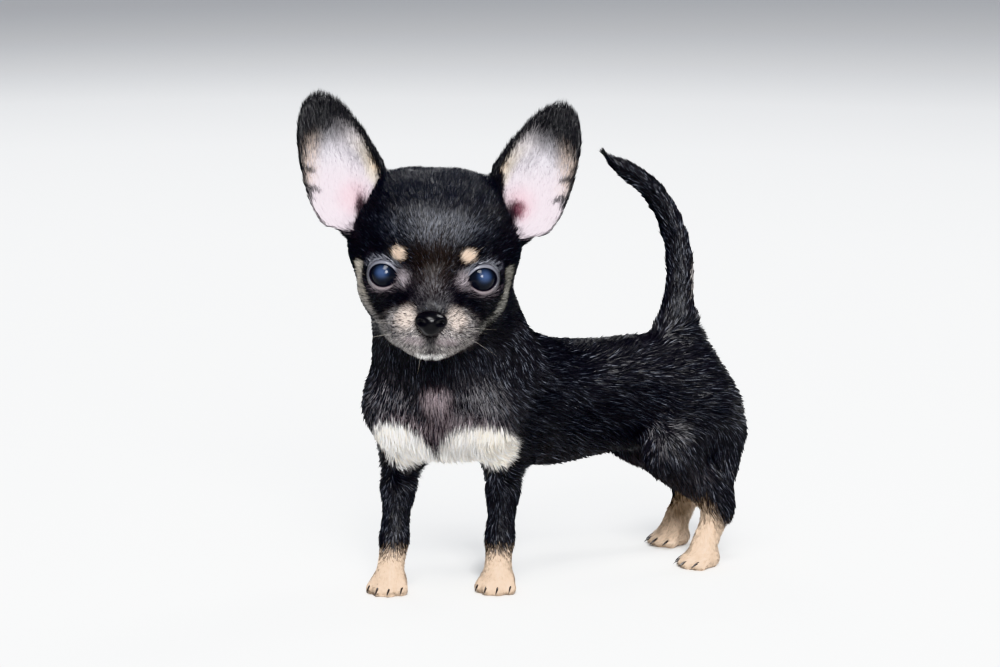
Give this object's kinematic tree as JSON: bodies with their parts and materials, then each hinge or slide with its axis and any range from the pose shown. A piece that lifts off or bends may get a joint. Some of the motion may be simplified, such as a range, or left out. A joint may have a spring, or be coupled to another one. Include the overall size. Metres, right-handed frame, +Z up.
{
  "type": "chihuahua puppy",
  "caption": "Life-size still model of a young smooth-coated chihuahua, black and tan, standing with its head turned to its left and its tail up.",
  "frame": {"origin": "middle of the bounding box in plan, on the floor under the feet", "axes": "+Z up, the back along Y with the chest towards -Y, the dog's left towards +X"},
  "size_m": [0.0892, 0.1874, 0.1991],
  "materials": {
    "coat": "short sleek black fur with cream points",
    "ear": "bare pink skin under fine pale hair, black hair behind",
    "eye": "wet, dark blue",
    "nose_leather": "moist, fine grained"
  },
  "bodies": {
    "root": {"head": "coat", "nose": "nose_leather", "neck": "coat", "torso": "coat", "ear_left": "ear", "eye_left": "eye", "foreleg_left": "coat", "hind_leg_left": "coat", "ear_right": "ear", "eye_right": "eye", "foreleg_right": "coat", "hind_leg_right": "coat", "tail_root": "coat", "tail_middle": "coat", "tail_tip": "coat"}
  },
  "joints": []
}
